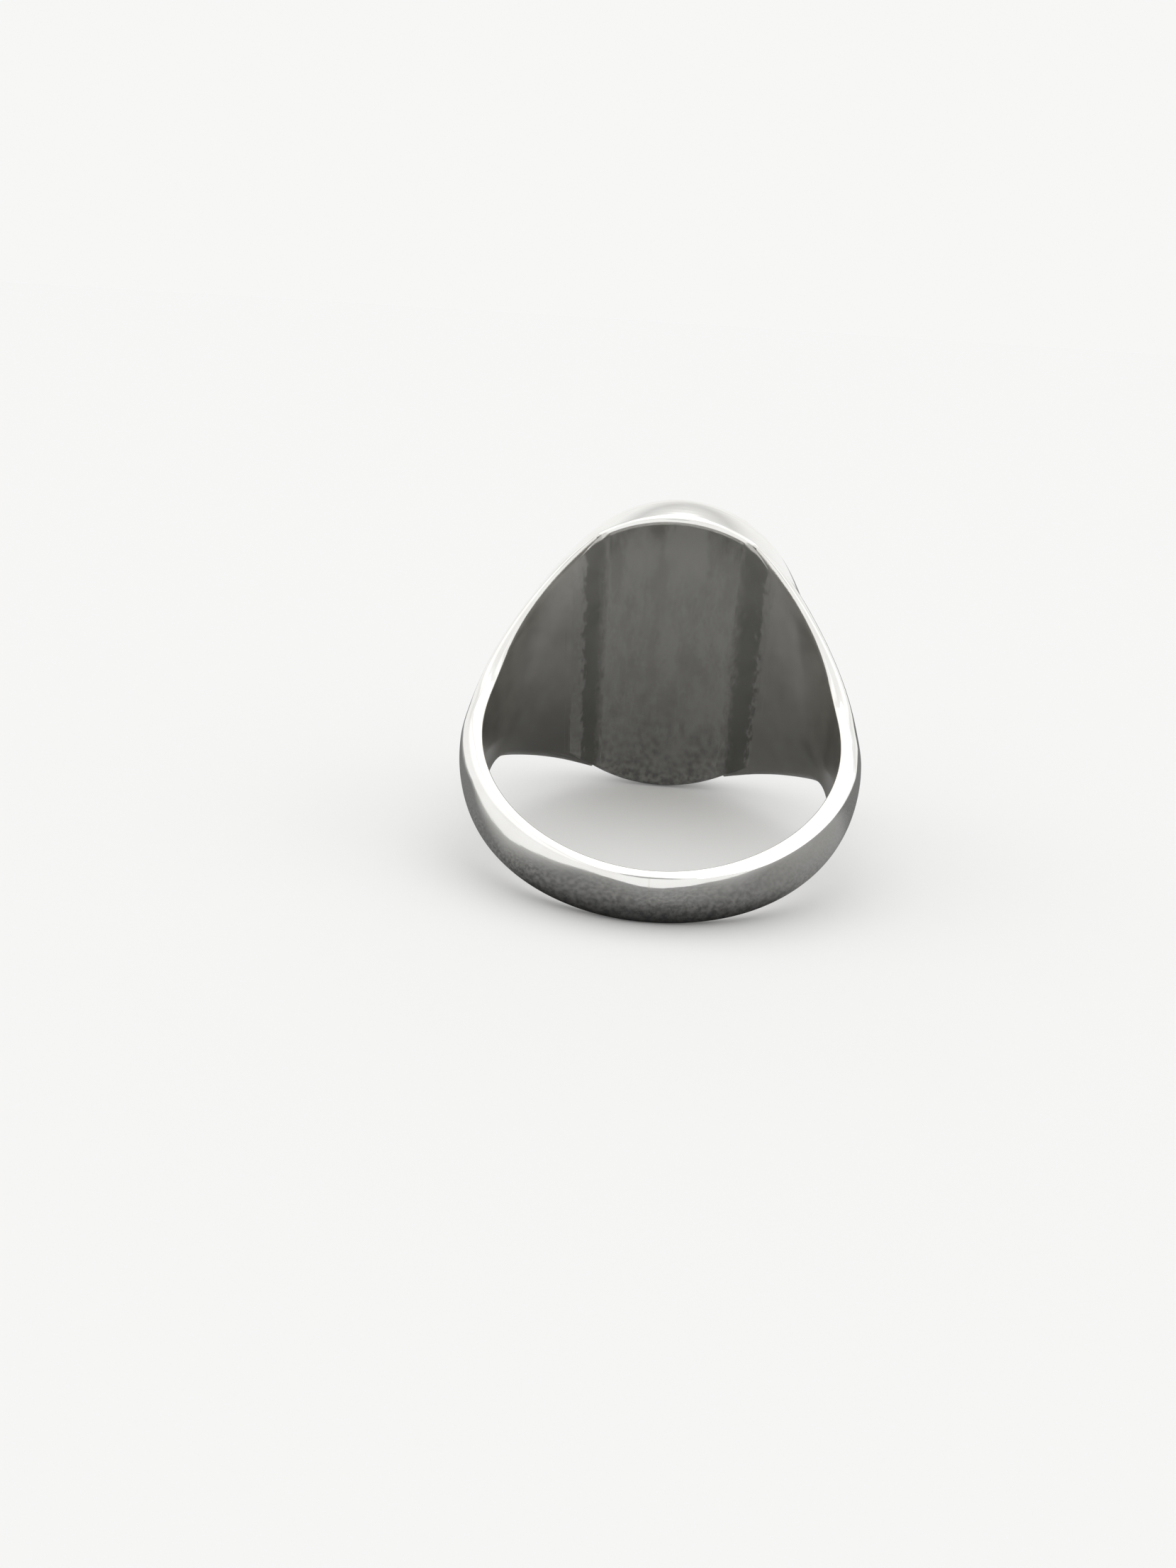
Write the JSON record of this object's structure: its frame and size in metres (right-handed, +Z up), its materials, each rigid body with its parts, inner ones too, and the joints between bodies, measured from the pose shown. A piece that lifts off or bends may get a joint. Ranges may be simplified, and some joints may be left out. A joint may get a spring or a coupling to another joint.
{
  "type": "signet ring",
  "caption": "Heavy oval signet ring with a plain bevelled face, straight shoulders and a tapering D-section band, soldered from a face plate, head plate and two shank halves.",
  "frame": {"origin": "on the ground plane, under the middle of the ring's bounding box; the ring lies tipped over, as it rests by itself, on the lower edge of the head and the back of the shank", "axes": "+X across the hand, to the wearer's right when the head is away from the viewer; +Y horizontal, from the back of the shank towards the head; +Z up. The finger's axis leans 24.2 degrees from +Z towards -Y."},
  "size_m": [0.0218, 0.024, 0.0191],
  "materials": {
    "polished_silver": "hand-polished sterling silver with faint hairline wear",
    "satin_silver": "satin sterling silver, polished on its outer edge",
    "silver_solder": "silver solder, polished flush, slightly warmer than the silver"
  },
  "bodies": {
    "root": {"signet_table": "polished_silver", "head_plate": "satin_silver", "left_shank_half": "polished_silver", "right_shank_half": "polished_silver", "table_solder": "silver_solder", "left_shoulder_solder": "silver_solder", "right_shoulder_solder": "silver_solder", "back_seam_solder": "silver_solder"}
  },
  "joints": []
}
